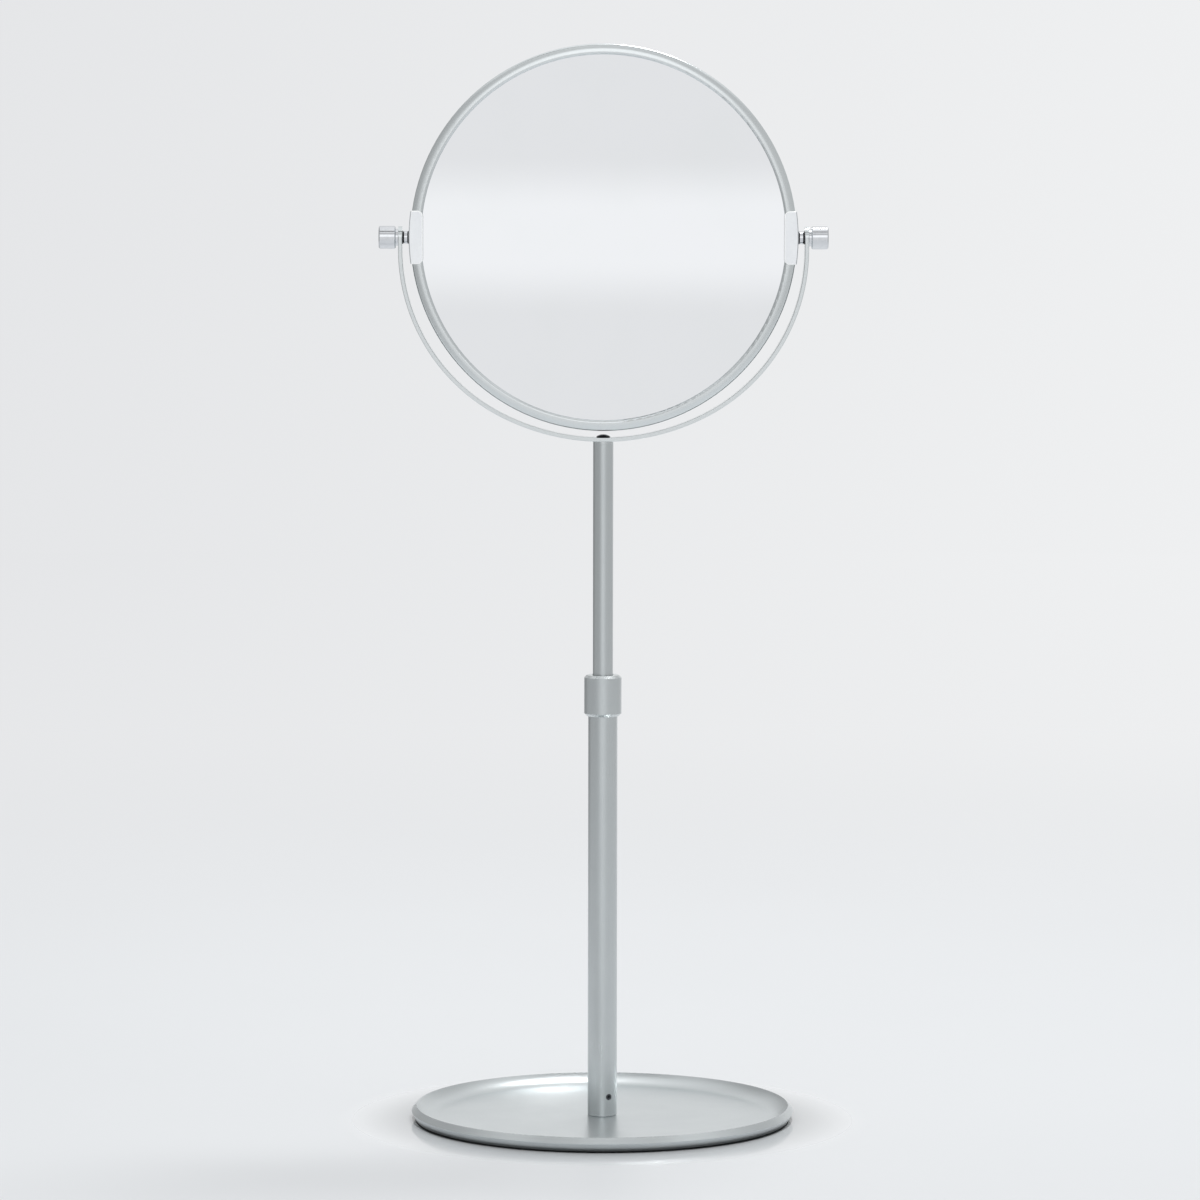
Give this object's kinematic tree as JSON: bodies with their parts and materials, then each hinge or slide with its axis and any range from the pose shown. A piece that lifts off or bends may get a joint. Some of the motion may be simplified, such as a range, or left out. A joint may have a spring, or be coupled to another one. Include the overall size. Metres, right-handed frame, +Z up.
{
  "type": "telescopic table mirror",
  "caption": "Free-standing round two-sided mirror in a U yoke, tilting between knobs on a telescopic column with a clamp collar and a dished round base.",
  "frame": {"origin": "on the floor, at the column's axis: the centre of the round base's underside", "axes": "+Z up along the column; the plain mirror glass faces -Y, and the magnifying glass +Y; the tilt axis runs along X"},
  "size_m": [0.2212, 0.19, 0.5332],
  "materials": {
    "tray_satin": "satin, silver-grey",
    "tube_satin": "satin, silver-grey",
    "collar_satin": "satin, silver-grey",
    "ring_satin": "satin, silver-grey",
    "yoke_satin": "satin, silver-grey",
    "bright_chrome": "polished",
    "screw_steel": "dark bright steel",
    "inner_steel": "plain zinc-plated",
    "bracket_plastic": "pale satin, moulded",
    "inner_plastic": "natural moulded",
    "black_plastic": "matt black",
    "pad_rubber": "matt black",
    "mirror_glass": "silvered glass",
    "core_board": "raw fibreboard"
  },
  "bodies": {
    "base": {"base_tray": "tray_satin", "anti_slip_pad": "pad_rubber", "base_spigot": "inner_steel", "spigot_screw": "inner_steel", "tube_set_screw": "screw_steel", "lower_tube": "tube_satin", "clamp_collet": "inner_plastic"},
    "collar": {"clamp_collar": "collar_satin"},
    "bush": {"guide_bush": "inner_plastic"},
    "mast": {"upper_tube": "tube_satin", "stop_ring": "inner_steel", "end_plug": "inner_plastic", "tube_insert": "inner_steel", "yoke": "yoke_satin", "yoke_screw": "screw_steel", "left_outer_washer": "black_plastic", "right_outer_washer": "black_plastic"},
    "head": {"bezel_ring": "ring_satin", "front_glass": "mirror_glass", "rear_glass": "mirror_glass", "backing_core": "core_board", "left_bracket": "bracket_plastic", "left_pivot_nut": "inner_steel", "left_inner_washer": "black_plastic", "left_spacer": "bright_chrome", "right_bracket": "bracket_plastic", "right_pivot_nut": "inner_steel", "right_inner_washer": "black_plastic", "right_spacer": "bright_chrome"},
    "left_knob": {"left_knob": "bright_chrome", "left_stud": "inner_steel"},
    "right_knob": {"right_knob": "bright_chrome", "right_stud": "inner_steel"}
  },
  "joints": [
    {"name": "collar_twist", "type": "hinge", "parent": "base", "child": "collar", "pos_m": [0, 0, 0.2119], "axis": [0, 0, 1], "range_deg": [0, 90]},
    {"name": "height_slide", "type": "slide", "parent": "base", "child": "bush", "axis": [0, 0, 1], "range_m": [-0.113, 0.045]},
    {"name": "mast_swivel", "type": "hinge", "parent": "bush", "child": "mast", "pos_m": [0, 0, 0.2], "axis": [0, 0, 1], "continuous": true},
    {"name": "head_tilt", "type": "hinge", "parent": "mast", "child": "head", "pos_m": [0, 0, 0.43819], "axis": [1, 0, 0], "continuous": true},
    {"name": "left_knob_turn", "type": "hinge", "parent": "head", "child": "left_knob", "pos_m": [-0.1, 0, 0.43819], "axis": [-1, 0, 0], "range_deg": [0, 180]},
    {"name": "right_knob_turn", "type": "hinge", "parent": "head", "child": "right_knob", "pos_m": [0.1, 0, 0.43819], "axis": [1, 0, 0], "range_deg": [0, 180]}
  ]
}
